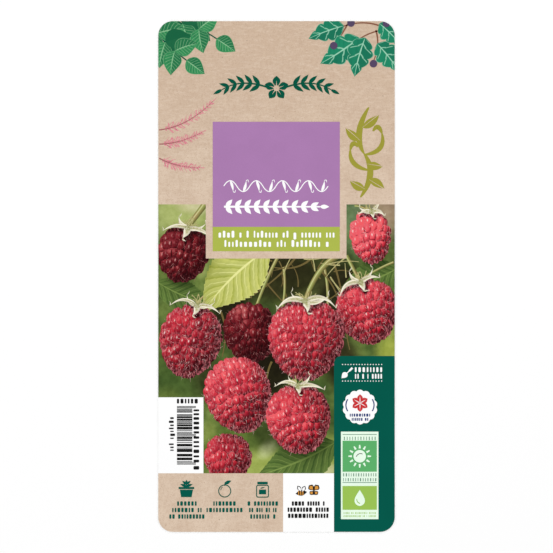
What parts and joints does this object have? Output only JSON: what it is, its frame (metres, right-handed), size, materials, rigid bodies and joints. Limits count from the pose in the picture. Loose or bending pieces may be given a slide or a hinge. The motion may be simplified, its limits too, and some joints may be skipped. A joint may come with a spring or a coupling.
{
  "type": "printed plant label card",
  "caption": "Flat rounded-corner plastic plant label card with printed colour fields, badges, bar code and a picture of raspberries, for a potted fruit bush.",
  "frame": {"origin": "centre of the card's plain back, on the surface that it lies on", "axes": "+Z is the normal of the printed face, +Y points to the card's head, +X to its right seen from the print"},
  "size_m": [0.1, 0.216, 0.0008],
  "materials": {
    "card": "plain uncoated white plastic, satin",
    "kraft_print": "printed kraft paper pattern, satin varnish",
    "white_print": "white print, satin varnish",
    "picture_print": "printed picture ground of blurred greens, satin varnish",
    "dark_green_print": "dark green print, satin varnish",
    "purple_print": "purple print, satin varnish",
    "lime_print": "lime green print, satin varnish",
    "pale_green_print": "pale green print, satin varnish",
    "mid_green_print": "mid green print, satin varnish",
    "fresh_green_print": "fresh green print, satin varnish",
    "leaf_green_print": "drawn leaves in greens, satin varnish",
    "teal_print": "drawn leaves in teal, satin varnish",
    "pink_print": "pink line print, satin varnish",
    "olive_print": "olive print, satin varnish",
    "black_print": "black print, satin varnish",
    "berry_print": "pictured raspberries, satin varnish",
    "dark_berry_print": "pictured raspberries in shade, satin varnish",
    "fresh_leaf_print": "pictured yellow-green leaf, satin varnish",
    "deep_leaf_print": "pictured deep green leaves, satin varnish",
    "cane_print": "pictured stalks, satin varnish",
    "sepal_print": "pictured pale sepals, satin varnish"
  },
  "bodies": {
    "root": {"card_body": "card", "kraft_header_field": "kraft_print", "picture_field": "picture_print", "code_box_field": "white_print", "kraft_footer_field": "kraft_print", "white_footer_field": "white_print", "side_strip_field": "dark_green_print", "name_panel": "purple_print", "name_band": "lime_print", "badge_frame": "pale_green_print", "badge_upper_field": "mid_green_print", "badge_lower_field": "fresh_green_print", "seal_badge": "white_print", "seal_flower": "berry_print", "badge_sun": "pale_green_print", "badge_drop": "pale_green_print", "strip_trowel": "white_print", "name_tendril": "white_print", "name_leaf_row": "white_print", "emblem_garland": "dark_green_print", "leaf_spray_left": "leaf_green_print", "leaf_spray_right": "teal_print", "pink_plume_1": "pink_print", "pink_plume_2": "pink_print", "pink_plume_3": "pink_print", "vine_ornament": "olive_print", "symbol_pot": "dark_green_print", "symbol_fruit": "dark_green_print", "symbol_jar": "dark_green_print", "symbol_butterfly": "black_print", "symbol_bee": "black_print", "code_bars": "black_print", "berry_centre": "berry_print", "berry_lower": "berry_print", "berry_lower_left": "berry_print", "berry_right": "berry_print", "berry_left": "berry_print", "berry_upper_right": "berry_print", "berry_foot": "berry_print", "berry_upper_left": "dark_berry_print", "berry_back": "dark_berry_print", "calyx_centre": "sepal_print", "calyx_right": "sepal_print", "calyx_upper_left": "sepal_print", "calyx_lower": "sepal_print", "calyx_left": "sepal_print", "calyx_upper_right": "sepal_print", "leaf_upper": "fresh_leaf_print", "leaf_foot": "deep_leaf_print", "leaf_right": "deep_leaf_print", "leaf_left": "deep_leaf_print", "cane": "cane_print", "stalk_back": "cane_print", "stalk_right": "cane_print"}
  },
  "joints": []
}
